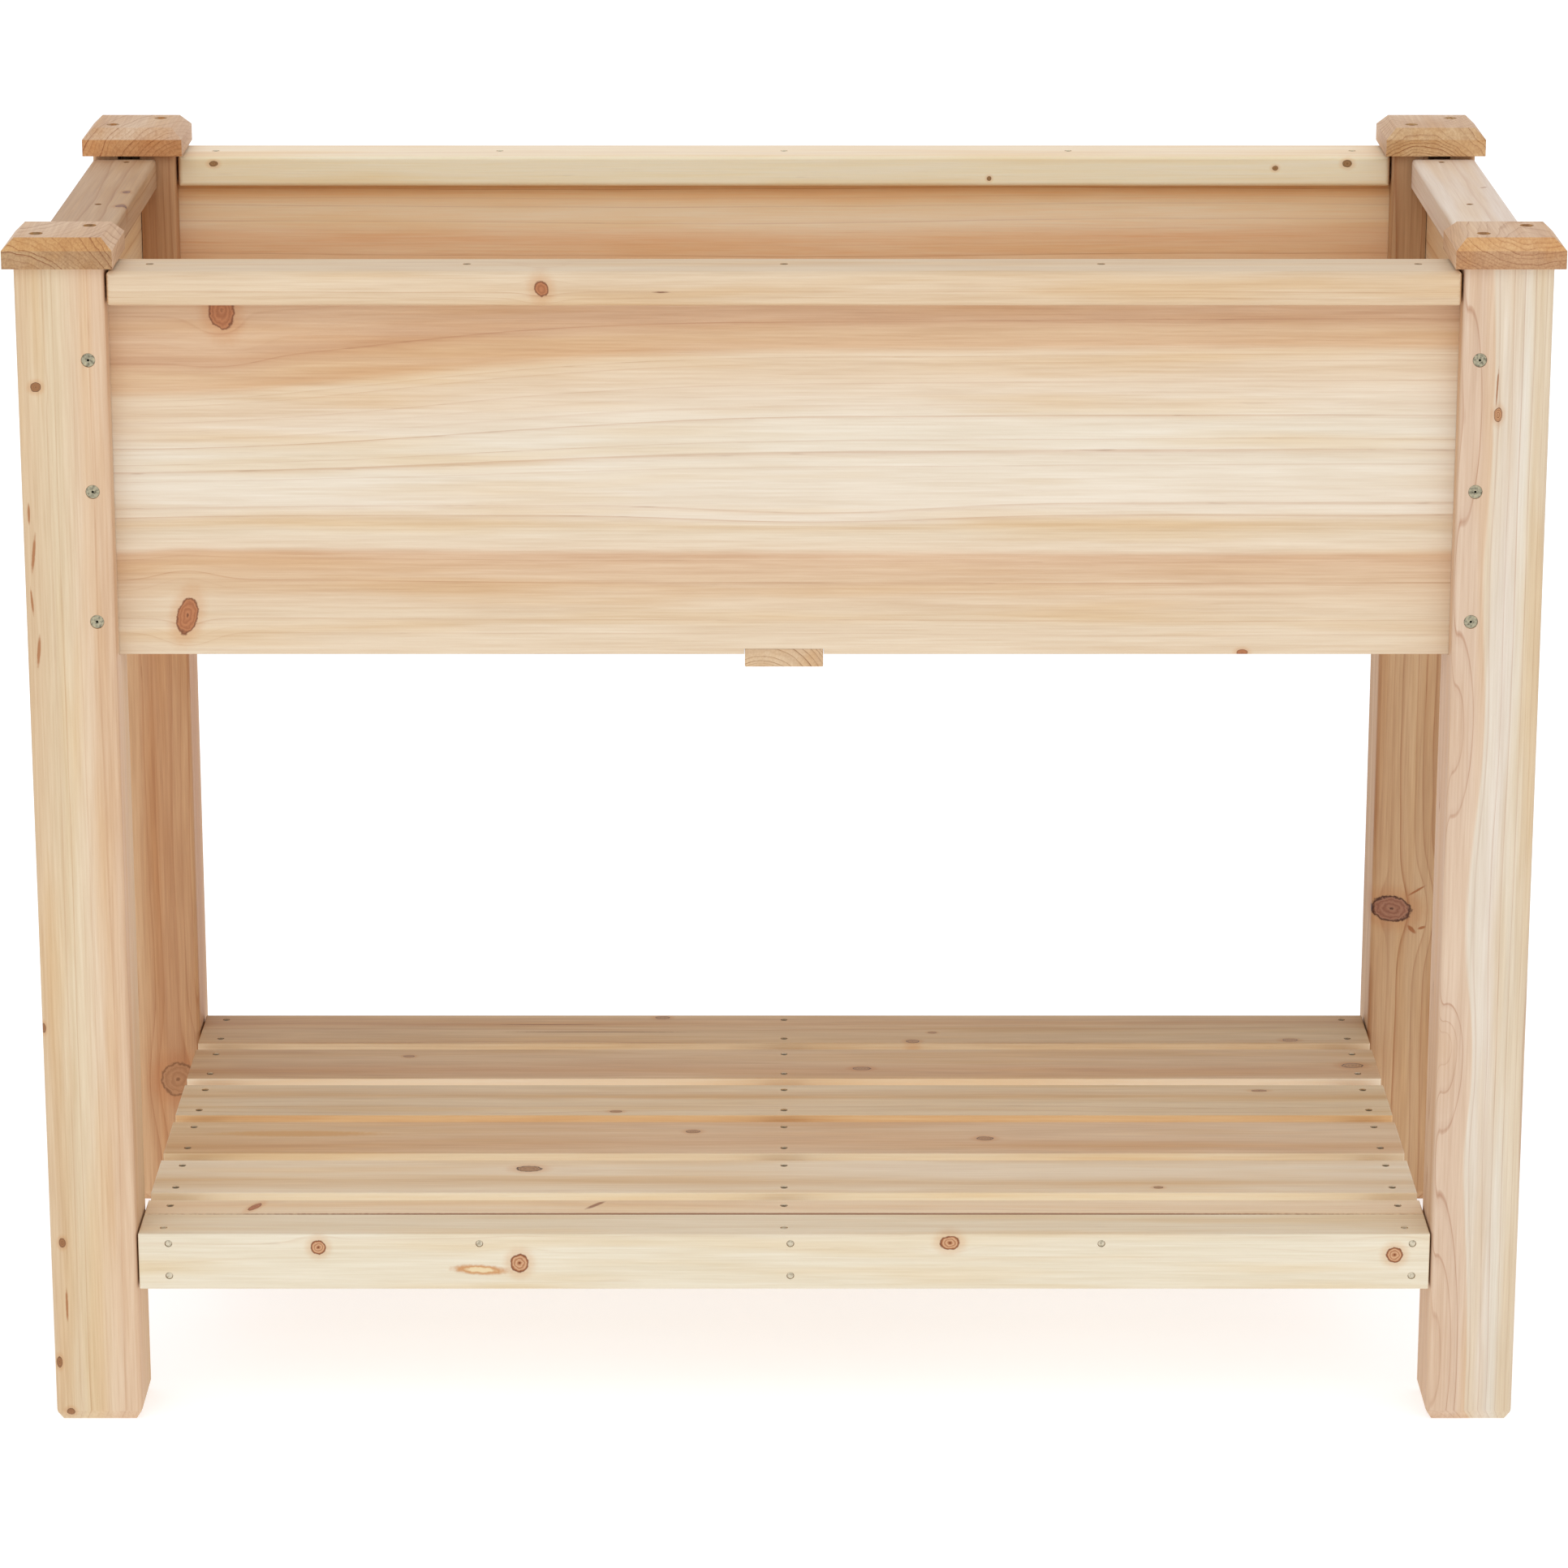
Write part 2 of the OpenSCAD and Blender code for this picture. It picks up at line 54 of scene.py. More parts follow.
def addNode(tree, kind, inputs=None, stops=None, **settings):
    node = tree.nodes.new("ShaderNode" + kind)
    for name, value in settings.items():
        setattr(node, name, value)
    for key, value in (inputs or {}).items():
        if isinstance(value, bpy.types.NodeSocket):
            tree.links.new(value, node.inputs[key])
        else:
            node.inputs[key].default_value = value
    if stops:  # colour ramp: (place, hex) pairs in rising order
        ramp = node.color_ramp.elements
        ramp[0].position, ramp[1].position = stops[0][0], stops[-1][0]
        ramp[0].color, ramp[1].color = linear(stops[0][1]), linear(stops[-1][1])
        for place, colour in stops[1:-1]:
            ramp.new(place).color = linear(colour)
    return next((s for s in node.outputs if s.enabled), None)


def emptyMaterial(name):
    material = bpy.data.materials.new(name)
    material.use_nodes = True
    material.node_tree.nodes.clear()
    return material, material.node_tree


# Planed fir: what every board has unless its own settings say otherwise. Lengths are mm.
# The rings are real cylinders round a pith line beside the board, so faces and ends agree.
firDefaults = {
    "grain": "X",           # axis the board's fibres run along
    "face": "Y",            # second axis of the wide face, in which knots are placed
    "pith": (0, -60),       # pith line from the board's middle, on the two axes across the grain
    "drift": (0, 0),        # how far the pith line moves across per mm along the board
    "ringGap": 4.2,         # usual width of a year
    "ringUneven": 1.6,      # how much wide and narrow years differ
    "wobble": (2.0, 240, 60),   # sway of the rings, its length along and across the grain
    "bands": [(-12, "#dcc09a"), (12, "#d6b68e")],   # broad colours by ring distance from the middle
    "line": "#c58f63",      # late wood, multiplied over the band
    "lineDepth": (0.1, 0.75),   # strength of the faintest and of the darkest year
    "lineSharp": 0.55,      # share of a ring that is early wood
    "fibre": 0.35,          # how strongly the fibres show
    "warmth": 0.35,         # how strongly the yellower patches show
    "dashes": 0.5,          # how strongly the short dark resin lines show
    "knots": [],            # (along, face, half length, half height, turn in degrees)
    "knotAt": None,         # (place, depth) of the knots on the third axis, or None for right through
    "knotRim": "#7d4a2c",   # bark line round a knot
    "knotBody": "#b9794f",
    "knotRing": "#a0623c",  # the knot's own rings
    "marks": [],            # resin streaks, and painted shade along a joint, placed as the knots are
    "markColour": "#9a5a2c",
    "markCore": "",         # colour inside a streak's outline, where it is a pocket
    "swells": [],           # (along, face, length, height, push): slow bends of the grain
    "bulges": [],           # the same, where a ring comes up through the face as an island
    "end": "#d9b78e",       # tint of the end grain, or a ramp of tints by how squarely a face cuts the fibres
    "edge": "",             # colour of the narrow edges, painted paler than the faces as painted light
    "paintedShadeAlong": [],       # (mm from the board's middle, tint): slow change of tone along the board, used as painted shade
    "seed": 1,
}
planed = {  # what the saw, the planer and dry storage leave, the same on every board
    "seedStep": 7.31,
    "ringDrift": 5,             # years over which the rings' widths change
    "unevenGain": 2.2, "swayGain": 4,   # bring a noise texture's narrow range to the width that is asked for
    # sizes are along and across the fibres; "from" is where a pattern begins and where it is full
    "fibreSize": (55, 1.3),     # real fibres are 0.04 mm wide, drawn coarser so that they show
    "fibreLight": (0.2, 0.8), "fibreRough": (0.52, 0.68),
    "cloudSize": (130, 9),      # patches in which the lines fade and the board pales
    "cloudFade": (0.45, 1.0), "cloudFrom": (0.35, 0.65), "cloudLight": (0.40, 0.60), "cloudMix": 0.5,
    "warmSize": (240, 17),      # yellower patches, a hand long and a finger wide
    "warmFrom": (0.48, 0.68), "warmTint": "#f3d9a8",
    "dashSize": (22, 1.6),      # resin bled along a ring
    "dashFrom": (0.66, 0.76), "dashColour": "#7a4526",
    "endFrom": (0.55, 0.9),     # how squarely a face cuts the fibres before it counts as end grain
    "endLines": 0.7,            # how much stronger the rings are there
    "edgeFrom": (0.5, 0.9), "edgeCover": 0.85,
    "knotThrough": 80, "bendThrough": 1000,     # deep enough to reach through any board
    # distances round knots and marks are in their own sizes, 1 on the outline
    "ragged": 0.35, "knotRagged": 0.8, "markRagged": 0.9,   # noise per mm on the outlines, and its strength
    "parting": 0.8, "partingReach": (3.4, 2.1, 2),  # how far the grain parts round a knot: along, across, deep
    "haloFrom": (2.3, 1.0), "halo": 0.42, "haloTint": "#ecc39c",    # redder wood round a knot
    "knotFrom": (1.12, 0.96), "stainFrom": (1.15, 0.55), "stain": 0.85,
    "lineRelief": 0.10, "fibreRelief": 0.22, "stainRelief": -0.15, "crackRelief": 0.25,     # mm
    "knotGloss": 0.14,          # hard knots plane smoother
    "dryGloss": 0.32,           # low specular of bare dry wood
    "bump": 0.7,
}


def hillAt(tree, plane, spot, reach):  # 1 at the spot, about a third at the reach, then nothing
    near = addNode(tree, "Mapping", {"Vector": plane, "Location": spot, "Scale": reach}, vector_type="TEXTURE")
    squared = addNode(tree, "VectorMath", {0: near, 1: near}, operation="DOT_PRODUCT")
    return addNode(tree, "Math", {0: math.exp(-1), 1: squared}, operation="POWER")


def firMaterial(name, wood, low, high):  # planed fir, unfinished: soft sheen, fine lines, red-brown knots
    fir = {**firDefaults, **wood}
    material, tree = emptyMaterial("planed fir " + name)
    middle = [(low[i] + high[i]) / 2 / mm for i in range(3)]
    order = {"X": "XYZ", "Y": "YXZ", "Z": "ZXY"}[fir["grain"]]  # the fibres' axis comes first
    seed = fir["seed"] * planed["seedStep"]
    place = addNode(tree, "TexCoord").node.outputs
    fromMiddle = {"Vector": place["Object"], "Location": [-m for m in middle], "Scale": [1 / mm] * 3}
    local = addNode(tree, "Mapping", fromMiddle)
    split = addNode(tree, "SeparateXYZ", {0: local}).node.outputs
    along, across, deep = [split["XYZ".index(axis)] for axis in order]
    faceFirst = fir["face"] == order[1]
    onFace, inward = (across, deep) if faceFirst else (deep, across)
    facing = (order[0], fir["face"], order[2 if faceFirst else 1])
    alongMiddle, faceMiddle, inwardMiddle = [middle["XYZ".index(axis)] for axis in facing]
    inwardSpot, knotDepth = fir["knotAt"] or (inwardMiddle, planed["knotThrough"])
    plane = addNode(tree, "CombineXYZ", {0: along, 1: onFace, 2: inward})
    bent = onFace   # the face's coordinate, as the grain bends it

    # noise drawn out along the fibres: its size along and across, its start, its detail
    layers = {
        "sway": (fir["wobble"][1:], (seed, seed * 0.7, seed * 1.3), {"Detail": 3, "Roughness": 0.45}),
        "cloud": (planed["cloudSize"], (seed * 2, seed, seed), {"Detail": 2}),
        "fibre": (planed["fibreSize"], (seed, seed, seed), {"Detail": 4, "Roughness": 0.6}),
        "warm": (planed["warmSize"], (seed, -seed, seed * 3), {"Detail": 2}),
        "dash": (planed["dashSize"], (-seed, seed, -seed), {"Detail": 1}),
    }
    noise = {}
    for layer, (size, start, detail) in layers.items():
        scale = [1 / size[0] if axis == order[0] else 1 / size[1] for axis in "XYZ"]
        drawnOut = addNode(tree, "Mapping", {"Vector": local, "Location": start, "Scale": scale})
        noise[layer] = addNode(tree, "TexNoise", {"Vector": drawnOut, "Scale": 1, **detail})

    for spotAlong, spotFace, length, height, push in fir["swells"]:
        spot = (spotAlong - alongMiddle, spotFace - faceMiddle, 0)
        hill = hillAt(tree, plane, spot, (length, height, planed["bendThrough"]))
        bent = addNode(tree, "Math", {0: hill, 1: push, 2: bent}, operation="MULTIPLY_ADD")

    # how far away the nearest knot and the nearest mark are, 1 on the outline
    nearest = {"knots": None, "marks": None}
    for kind in nearest:
        for spotAlong, spotFace, halfLength, halfHeight, turn in fir[kind]:
            spot = (spotAlong - alongMiddle, spotFace - faceMiddle, inwardSpot - inwardMiddle)
            size = (halfLength, halfHeight, knotDepth)
            ellipse = {"Vector": plane, "Location": spot, "Rotation": (0, 0, math.radians(turn)), "Scale": size}
            away = addNode(tree, "Mapping", ellipse, vector_type="TEXTURE")
            away = addNode(tree, "VectorMath", {0: away}, operation="LENGTH")
            if nearest[kind] is not None:
                away = addNode(tree, "Math", {0: nearest[kind], 1: away}, operation="MINIMUM")
            nearest[kind] = away
            if kind == "knots":     # the grain parts round the knot and closes again behind it
                hill = hillAt(tree, plane, spot, [s * r for s, r in zip(size, planed["partingReach"])])
                pull = addNode(tree, "Math", {0: onFace, 1: spot[1]}, operation="SUBTRACT")
                pull = addNode(tree, "Math", {0: pull, 1: hill}, operation="MULTIPLY")
                bent = addNode(tree, "Math", {0: pull, 1: -planed["parting"], 2: bent}, operation="MULTIPLY_ADD")
    across, deep = (bent, deep) if faceFirst else (across, bent)

    # distance from the pith line
    sideA = addNode(tree, "Math", {0: along, 1: -fir["drift"][0], 2: across}, operation="MULTIPLY_ADD")
    sideB = addNode(tree, "Math", {0: along, 1: -fir["drift"][1], 2: deep}, operation="MULTIPLY_ADD")
    fromPith = addNode(tree, "CombineXYZ", {0: sideA, 1: sideB})
    fromPith = addNode(tree, "VectorMath", {0: fromPith, 1: (*fir["pith"], 0)}, operation="SUBTRACT")
    radius = addNode(tree, "VectorMath", {0: fromPith}, operation="LENGTH")
    swayed = addNode(tree, "Math", {0: noise["sway"], 1: 0.5}, operation="SUBTRACT")
    sway = fir["wobble"][0] * planed["swayGain"]
    radius = addNode(tree, "Math", {0: swayed, 1: sway, 2: radius}, operation="MULTIPLY_ADD")
    for spotAlong, spotFace, length, height, push in fir["bulges"]:
        spot = (spotAlong - alongMiddle, spotFace - faceMiddle, 0)
        hill = hillAt(tree, plane, spot, (length, height, planed["bendThrough"]))
        radius = addNode(tree, "Math", {0: hill, 1: push, 2: radius}, operation="MULTIPLY_ADD")
    ring = addNode(tree, "Math", {0: radius, 1: math.hypot(*fir["pith"])}, operation="SUBTRACT")

    # broad bands by the ring, and over them the slow change along the board, where it paints shade
    colour = None
    for value, tones in ((ring, fir["bands"]), (along, fir["paintedShadeAlong"])):
        if not tones:
            continue
        first, last = tones[0][0], tones[-1][0]
        tint = addNode(tree, "MapRange", {0: value, 1: first, 2: last})
        tint = addNode(tree, "ValToRGB", {0: tint}, stops=[((t[0] - first) / (last - first), t[1]) for t in tones])
        if colour is not None:
            tint = addNode(tree, "Mix", {0: 1.0, 6: colour, 7: tint}, data_type="RGBA", blend_type="MULTIPLY")
        colour = tint

    # years: uneven widths, each with its own strength
    gap = fir["ringGap"]
    years = addNode(tree, "Math", {0: ring, 1: 1 / (gap * planed["ringDrift"]), 2: seed}, operation="MULTIPLY_ADD")
    years = addNode(tree, "TexNoise", {"W": years, "Scale": 1, "Detail": 2}, noise_dimensions="1D")
    years = addNode(tree, "Math", {0: years, 1: fir["ringUneven"] * planed["unevenGain"]}, operation="MULTIPLY")
    years = addNode(tree, "Math", {0: ring, 1: 1 / gap, 2: years}, operation="MULTIPLY_ADD")
    year = addNode(tree, "Math", {0: years}, operation="FLOOR")
    year = addNode(tree, "Math", {0: year, 1: seed}, operation="ADD")
    strength = addNode(tree, "TexWhiteNoise", {"W": year}, noise_dimensions="1D")
    strength = addNode(tree, "Math", {0: strength, 1: 2}, operation="POWER")    # most years are faint
    strength = addNode(tree, "MapRange", {0: strength, 3: fir["lineDepth"][0], 4: fir["lineDepth"][1]})
    share = addNode(tree, "Math", {0: years}, operation="FRACT")
    early = fir["lineSharp"]
    late = addNode(tree, "ValToRGB", {0: share}, stops=[    # darkens slowly to a line that ends sharply
        (0, "#000000"), (early, "#161616"), (early + (1 - early) * 0.6, "#8c8c8c"),
        (0.94, "#ffffff"), (0.975, "#d0d0d0"), (1, "#000000")])
    fade = {0: noise["cloud"], 1: noiseLow, 2: noiseHigh, 3: planed["cloudFade"][0], 4: planed["cloudFade"][1]}
    fade = addNode(tree, "MapRange", fade)
    late = addNode(tree, "Math", {0: late, 1: strength}, operation="MULTIPLY")
    late = addNode(tree, "Math", {0: late, 1: fade}, operation="MULTIPLY")

    # end grain: darker and with stronger rings, told by the way the surface faces
    turned = addNode(tree, "VectorMath", {0: place["Normal"]}, operation="ABSOLUTE")
    turned = addNode(tree, "SeparateXYZ", {0: turned}).node.outputs
    square = turned["XYZ".index(order[0])]
    partly, fully = planed["endFrom"]
    boost = addNode(tree, "MapRange", {0: square, 1: partly, 2: fully})
    boost = addNode(tree, "Math", {0: boost, 1: planed["endLines"], 2: 1.0}, operation="MULTIPLY_ADD")
    late = addNode(tree, "Math", {0: late, 1: boost}, operation="MULTIPLY", use_clamp=True)
    lined = {0: late, 6: colour, 7: linear(fir["line"])}
    colour = addNode(tree, "Mix", lined, data_type="RGBA", blend_type="MULTIPLY")
    ends = fir["end"] if isinstance(fir["end"], list) else [(partly, "#ffffff"), (fully, fir["end"])]
    tint = addNode(tree, "ValToRGB", {0: square}, stops=ends)
    colour = addNode(tree, "Mix", {0: 1.0, 6: colour, 7: tint}, data_type="RGBA", blend_type="MULTIPLY")
    # narrow edges are mixed towards a pale colour: painted light
    if fir["edge"]:
        partly, fully = planed["edgeFrom"]
        side = addNode(tree, "MapRange", {0: turned["XYZ".index(order[1])], 1: partly, 2: fully})
        side = addNode(tree, "Math", {0: side, 1: planed["edgeCover"]}, operation="MULTIPLY")
        colour = addNode(tree, "Mix", {0: side, 6: colour, 7: linear(fir["edge"])}, data_type="RGBA")

    # fibres and clouds, as light and shade
    low, high = planed["fibreLight"]
    streak = addNode(tree, "MapRange", {0: noise["fibre"], 1: noiseLow, 2: noiseHigh, 3: low, 4: high})
    (partly, fully), (low, high) = planed["cloudFrom"], planed["cloudLight"]
    broad = addNode(tree, "MapRange", {0: noise["cloud"], 1: partly, 2: fully, 3: low, 4: high})
    for amount, light in ((fir["fibre"], streak), (planed["cloudMix"], broad)):
        light = addNode(tree, "CombineXYZ", {0: light, 1: light, 2: light})
        colour = addNode(tree, "Mix", {0: amount, 6: colour, 7: light}, data_type="RGBA", blend_type="SOFT_LIGHT")

    # yellower patches, then dark dashes where resin has bled along a ring
    partly, fully = planed["warmFrom"]
    warm = addNode(tree, "MapRange", {0: noise["warm"], 1: partly, 2: fully, 3: 0, 4: fir["warmth"]})
    warm = {0: warm, 6: colour, 7: linear(planed["warmTint"])}
    colour = addNode(tree, "Mix", warm, data_type="RGBA", blend_type="MULTIPLY")
    partly, fully = planed["dashFrom"]
    dash = addNode(tree, "MapRange", {0: noise["dash"], 1: partly, 2: fully, 3: 0, 4: fir["dashes"]})
    dash = addNode(tree, "Math", {0: dash, 1: late}, operation="MULTIPLY", use_clamp=True)
    colour = addNode(tree, "Mix", {0: dash, 6: colour, 7: linear(planed["dashColour"])}, data_type="RGBA")

    height = addNode(tree, "Math", {0: late, 1: planed["lineRelief"]}, operation="MULTIPLY")
    height = {0: noise["fibre"], 1: planed["fibreRelief"], 2: height}
    height = addNode(tree, "Math", height, operation="MULTIPLY_ADD")
    low, high = planed["fibreRough"]
    rough = addNode(tree, "MapRange", {0: noise["fibre"], 1: noiseLow, 2: noiseHigh, 3: low, 4: high})

    # a small roughness on the outlines, so that no knot is a clean ellipse
    ragged = addNode(tree, "TexNoise", {"Vector": local, "Scale": planed["ragged"], "Detail": 2})
    ragged = addNode(tree, "Math", {0: ragged, 1: 0.5, 2: -0.25}, operation="MULTIPLY_ADD")
    if nearest["marks"] is not None:
        away = {0: ragged, 1: planed["markRagged"], 2: nearest["marks"]}
        away = addNode(tree, "Math", away, operation="MULTIPLY_ADD")
        partly, fully = planed["stainFrom"]
        stain = {0: away, 1: partly, 2: fully, 3: 0, 4: planed["stain"]}
        stain = addNode(tree, "MapRange", stain, interpolation_type="SMOOTHSTEP")
        outline = fir["markColour"]
        pocket = addNode(tree, "ValToRGB", {0: away}, stops=[(0.35, fir["markCore"] or outline), (0.6, outline)])
        colour = addNode(tree, "Mix", {0: stain, 6: colour, 7: pocket}, data_type="RGBA")
        height = addNode(tree, "Math", {0: stain, 1: planed["stainRelief"], 2: height}, operation="MULTIPLY_ADD")
    if nearest["knots"] is not None:
        away = {0: ragged, 1: planed["knotRagged"], 2: nearest["knots"]}
        away = addNode(tree, "Math", away, operation="MULTIPLY_ADD")
        partly, fully = planed["haloFrom"]
        halo = {0: away, 1: fully, 2: partly, 3: planed["halo"], 4: 0}
        halo = addNode(tree, "MapRange", halo, interpolation_type="SMOOTHSTEP")
        halo = {0: halo, 6: colour, 7: linear(planed["haloTint"])}
        colour = addNode(tree, "Mix", halo, data_type="RGBA", blend_type="MULTIPLY")
        rings = addNode(tree, "Math", {0: away, 1: 0.5}, operation="MULTIPLY")  # the outline comes at 0.5
        body, dark, rim = fir["knotBody"], fir["knotRing"], fir["knotRim"]
        knot = addNode(tree, "ValToRGB", {0: rings}, stops=[
            (0, rim), (0.03, rim), (0.08, body), (0.2, dark), (0.27, body),
            (0.36, dark), (0.42, body), (0.48, rim), (0.51, rim), (0.58, body)])
        partly, fully = planed["knotFrom"]
        inKnot = addNode(tree, "MapRange", {0: away, 1: partly, 2: fully}, interpolation_type="SMOOTHSTEP")
        colour = addNode(tree, "Mix", {0: inKnot, 6: colour, 7: knot}, data_type="RGBA")
        # the rim of a knot shrinks away from the board around it
        crack = addNode(tree, "ValToRGB", {0: rings}, stops=[
            (0, "#bbbbbb"), (0.4, "#bbbbbb"), (0.49, "#000000"), (0.6, "#bbbbbb")])
        height = addNode(tree, "Math", {0: crack, 1: planed["crackRelief"], 2: height}, operation="MULTIPLY_ADD")
        rough = addNode(tree, "Math", {0: inKnot, 1: -planed["knotGloss"], 2: rough}, operation="MULTIPLY_ADD")

    bump = addNode(tree, "Bump", {"Height": height, "Distance": mm, "Strength": planed["bump"]})
    shader = addNode(tree, "BsdfPrincipled", {
        "Base Color": colour, "Roughness": rough, "Normal": bump, "IOR": 1.5,
        "Specular IOR Level": planed["dryGloss"]})
    addNode(tree, "OutputMaterial", {"Surface": shader})
    return material


boards = {}

# Wide side boards. The front one is pale sapwood between tan heartwood along both edges.
boards["panel_front"] = {
    "face": "Z", "pith": (30, -420), "ringGap": 6.5, "wobble": (1.5, 420, 60), "seed": 3,
    "bands": [(-112, "#dec7a9"), (-98, "#dec8ab"), (-84, "#dcc5a7"), (-62, "#d7b896"),
              (-47, "#d4b18f"), (-43, "#dfc9ad"), (-33, "#dfccb1"), (-27, "#dac1a0"), (-20, "#e2d1ba"),
              (0, "#e3d4be"), (30, "#e2d4be"), (52, "#e1ceb5"), (66, "#ddc5a7"), (78, "#dec7a9"),
              (84, "#d4b08b"), (92, "#d5b38e"), (100, "#cea784"), (112, "#d4b18f")],
    "lineDepth": (0.03, 0.5), "dashes": 0.8,
    "knots": [(-338, 711, 7.5, 11, 8), (-364, 522, 6, 11.5, -14), (280, 498.5, 3.2, 2.2, 0)],
    "swells": [(-400, 662, 230, 60, 30), (-330, 570, 120, 40, -4), (20, 588, 90, 12, 6)],
}
boards["panel_rear"] = {
    "face": "Z", "pith": (-30, 420), "ringGap": 8, "wobble": (3, 420, 60), "seed": 8,
    "bands": [(-112, "#e2b788"), (-104, "#fad3a1"), (-96, "#f9e2be"), (-85, "#fce7c6"), (-74, "#f2caa0"),
              (-60, "#eec79d"), (-45, "#e8b98d"), (-10, "#f2d2ab"), (110, "#eecea8")],
    "line": "#b5744a", "lineDepth": (0.1, 0.9), "lineSharp": 0.75,
}
boards["panel_left"] = {
    "grain": "Y", "face": "Z", "pith": (-60, 200), "ringGap": 6, "wobble": (3, 300, 60), "seed": 12,
    "bands": [(-110, "#e2c29a"), (-30, "#ead5b2"), (60, "#dfbd94")],
    "knots": [(60, 560, 7, 9, 10), (-70, 668, 4, 5, 0)],
}
boards["panel_right"] = {
    "grain": "Y", "face": "Z", "pith": (60, -200), "ringGap": 6, "wobble": (3, 300, 60), "seed": 14,
    "bands": [(-110, "#e8cfa9"), (0, "#ecd9bb"), (110, "#dfbd94")],
    "knots": [(-40, 640, 6, 8, -8), (95, 540, 4.5, 5.5, 0)],
}

# Square posts. The front pair is pale, the rear pair is red-brown heartwood.
boards["leg_front_left"] = {
    "grain": "Z", "face": "X", "pith": (110, 60), "ringGap": 6, "wobble": (1.6, 500, 40), "seed": 21,
    "bands": [(-34, "#d0af88"), (-20, "#d6b796"), (-8, "#d3b08f"), (6, "#dabe9f"), (18, "#dbc6a5"), (34, "#d2b591")],
    "line": "#c99468", "lineDepth": (0.05, 0.5),
    "knots": [(668, -449, 2.8, 3, 0), (120, -452.5, 3, 2, 0), (40, -457, 3.5, 1.8, 0), (6, -451, 2.5, 2.5, 0),
              (262, -459, 3, 1.4, 0)],
    "knotAt": (-222.5, 12),
    "marks": [(590, -456, 7, 0.9, 0), (565, -454, 13, 1.1, 6), (535, -456, 9, 0.8, -4), (504, -453, 11, 1.2, 5),
              (78, -451, 12, 0.9, 0)],
    "markColour": "#a5683a", "knotBody": "#a8774c", "knotRing": "#855632", "knotRim": "#5c3922",
}
boards["leg_front_right"] = {
    "grain": "Z", "face": "X", "pith": (-22, 8), "ringGap": 3.6, "wobble": (0.9, 300, 40), "seed": 23,
    "bands": [(0, "#d1b193"), (8, "#d4b89e"), (12.4, "#d7bca1"), (13.2, "#ddcfbb"), (20, "#dccdbb"), (26, "#ded2bf"),
              (31, "#dac8ad"), (46, "#d3bb9b")],
    "line": "#bd8560", "lineDepth": (0.25, 0.9), "lineSharp": 0.72, "dashes": 0.15,
    "bulges": [(240, 409, 42, 17, -7), (252, 409, 14, 8, -4), (40, 404, 105, 26, -10), (455, 404, 62, 22, -8),
               (650, 408, 85, 18, -6)],
    "knots": [(651, 429, 4.2, 2.4, 0)], "knotAt": (-222.5, 12), "knotBody": "#cf9c70", "knotRing": "#8f5c36",
    "knotRim": "#6e4124",
    "marks": [(668, 428, 13, 0.6, 2)],
}
boards["leg_rear_left"] = {
    "grain": "Z", "face": "X", "pith": (-70, 60), "ringGap": 5.2, "wobble": (2.6, 300, 40), "seed": 27,
    "bands": [(-40, "#dcbf98"), (-12, "#d7b68e"), (0, "#d5b38c"), (10, "#cfa880"), (20, "#c09169"), (40, "#c89e76")],
    "line": "#c8946e", "lineDepth": (0.3, 0.9), "lineSharp": 0.4,
    "knots": [(90, -422, 12, 11.5, 0)], "knotBody": "#b4835b", "knotRing": "#a3724c", "knotRim": "#875a38",
    "knotAt": (168.5, 18),
}
boards["leg_rear_right"] = {
    "grain": "Z", "face": "X", "pith": (70, 60), "ringGap": 5.0, "wobble": (2.6, 300, 40), "seed": 31,
    "bands": [(-40, "#c9a781"), (-12, "#c39d76"), (0, "#c19b75"), (10, "#bb946d"), (20, "#c7a57f"), (40, "#c19a73")],
    "line": "#c08c62", "lineDepth": (0.3, 0.9), "lineSharp": 0.4,
    "knots": [(215, 419.5, 9, 13.5, 8)], "knotBody": "#a4745a", "knotRing": "#875540", "knotRim": "#4a2616",
    "knotAt": (168.5, 20),
    "marks": [(228, 437, 7, 0.9, 58), (200, 434, 4.5, 1.6, -45), (201, 441, 3, 1.2, 70)],
}

# Post caps: fibres run front to back, so their front and rear faces are end grain.
# The chamfer shows the cut fibres at a slant: orange on the front pair. On the rear pair the chamfer and the front
# face are painted pale, as painted light against the shade inside the box.
capChamfer = ["#f2dbb0", "#feebc8", "#ffffff", "#fffff0"]
capFront = ["#d5c8b0", "#dcc7b0", "#f7d9b2", "#fff8dd"]
for number, name in enumerate(["cap_front_left", "cap_front_right", "cap_rear_left", "cap_rear_right"]):
    boards[name] = {
        "grain": "Y", "face": "X", "seed": 40 + number * 3,
        "pith": [(-30, -46), (14, 60), (40, -38), (-6, -24)][number],
        "drift": [(0.1, 0.2), (0, 0.1), (0.1, -0.2), (0.1, 0.45)][number], "ringGap": [3, 2.4, 3.2, 2.8][number],
        "wobble": (1.3, 40, 14),
        "bands": [(-14, "#d2ae8e"), (0, "#d8b99a"), (14, "#d0ac8a")], "line": "#b3825c", "lineDepth": (0.25, 0.9),
        "fibre": 0.5,
        "end": [(0.45, "#ffffff"), (0.6, capChamfer[number]), (0.8, capChamfer[number]), (0.95, capFront[number])],
    }

